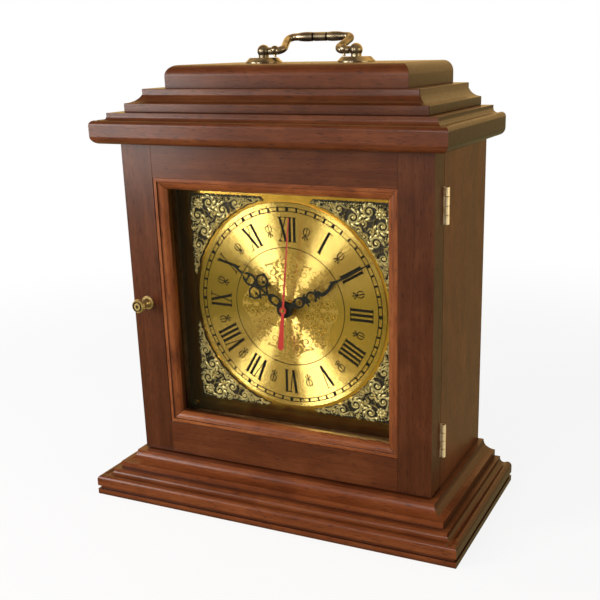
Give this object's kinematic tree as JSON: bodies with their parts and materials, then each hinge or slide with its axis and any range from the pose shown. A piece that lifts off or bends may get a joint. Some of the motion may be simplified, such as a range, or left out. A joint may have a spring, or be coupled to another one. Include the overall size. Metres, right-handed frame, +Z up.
{
  "type": "mantel clock",
  "caption": "Wooden mantel clock with a moulded base and crown, a glazed hinged door, a swinging bail handle and a square brass dial with turning hands.",
  "frame": {"origin": "middle of the bounding box on the underside of the base", "axes": "+Z up, +Y to the back, the dial faces -Y, +X to the right seen from the front"},
  "size_m": [0.346, 0.1708, 0.4046],
  "materials": {
    "stained_wood": "satin stained cherry or mahogany",
    "plain_board": "unfinished board",
    "screw_steel": "zinc plated",
    "aged_brass": "antiqued",
    "hinge_brass": "polished",
    "dial_brass": "spun satin",
    "cast_brass": "cast, bright on dark recesses",
    "pane": "clear",
    "black_enamel": "satin black",
    "red_enamel": "satin red",
    "works_brass": "machined",
    "black_plastic": "moulded",
    "white_plastic": "moulded",
    "battery_wrap": "plain wrap"
  },
  "bodies": {
    "case": {"base_lower_board": "stained_wood", "base_upper_board": "stained_wood", "base_screws": "screw_steel", "case_side_left": "stained_wood", "case_side_right": "stained_wood", "back_panel": "plain_board", "back_panel_screws": "screw_steel", "cornice_board": "stained_wood", "crown_middle_board": "stained_wood", "crown_top_cap": "stained_wood", "dial_cleats": "plain_board", "dial_backboard": "plain_board", "catch_magnet": "screw_steel", "handle_post_left": "aged_brass", "handle_post_right": "aged_brass", "handle_screws": "screw_steel", "hinge_case_leaf_upper": "hinge_brass", "hinge_case_leaf_lower": "hinge_brass", "hinge_pins": "hinge_brass", "hinge_case_screws": "hinge_brass", "dial_plate": "dial_brass", "dial_plate_screws": "dial_brass", "dial_disc": "dial_brass", "spandrel_top_left": "cast_brass", "spandrel_top_right": "cast_brass", "spandrel_bottom_left": "cast_brass", "spandrel_bottom_right": "cast_brass", "movement_front_shell": "black_plastic", "movement_back_shell": "black_plastic", "movement_bush": "works_brass", "bush_washer": "works_brass", "bush_nut": "works_brass", "stepper_coil": "works_brass", "circuit_board": "black_plastic", "battery": "battery_wrap", "battery_contacts": "screw_steel"},
    "door": {"door_stile_left": "stained_wood", "door_stile_right": "stained_wood", "door_rail_top": "stained_wood", "door_rail_bottom": "stained_wood", "door_moulding": "stained_wood", "door_glass": "pane", "glass_stops": "stained_wood", "knob_rosette": "aged_brass", "door_knob": "aged_brass", "knob_screw": "screw_steel", "catch_plate": "screw_steel", "hinge_door_leaf_upper": "hinge_brass", "hinge_door_leaf_lower": "hinge_brass", "hinge_door_screws": "hinge_brass"},
    "bail": {"handle_bail": "aged_brass"},
    "hour": {"hour_hand": "black_enamel", "hour_wheel": "white_plastic"},
    "minute": {"minute_hand": "black_enamel", "minute_arbor": "works_brass"},
    "second": {"second_hand": "red_enamel", "second_arbor": "works_brass"},
    "motion": {"motion_wheel": "white_plastic", "set_knob": "black_plastic"}
  },
  "joints": [
    {"name": "door_swing", "type": "hinge", "parent": "case", "child": "door", "pos_m": [0.1424, -0.0281, 0.1793], "axis": [0, 0, 1], "range_deg": [0, 175]},
    {"name": "bail_swing", "type": "hinge", "parent": "case", "child": "bail", "pos_m": [0, 0.03085, 0.3894], "axis": [1, 0, 0], "range_deg": [0, 160]},
    {"name": "minute_turn", "type": "hinge", "parent": "case", "child": "minute", "pos_m": [0, 0, 0.1793], "axis": [0, 1, 0], "continuous": true},
    {"name": "hour_turn", "type": "hinge", "parent": "case", "child": "hour", "pos_m": [0, 0, 0.1793], "axis": [0, 1, 0], "continuous": true},
    {"name": "motion_turn", "type": "hinge", "parent": "case", "child": "motion", "pos_m": [0, 0, 0.1697], "axis": [0, 1, 0], "continuous": true},
    {"name": "second_turn", "type": "hinge", "parent": "case", "child": "second", "pos_m": [0, 0, 0.1793], "axis": [0, 1, 0], "continuous": true}
  ],
  "couplings": [
    {"joint": "hour_turn", "follows": "minute_turn", "ratio": 0.083333},
    {"joint": "motion_turn", "follows": "minute_turn", "ratio": -0.33333}
  ]
}
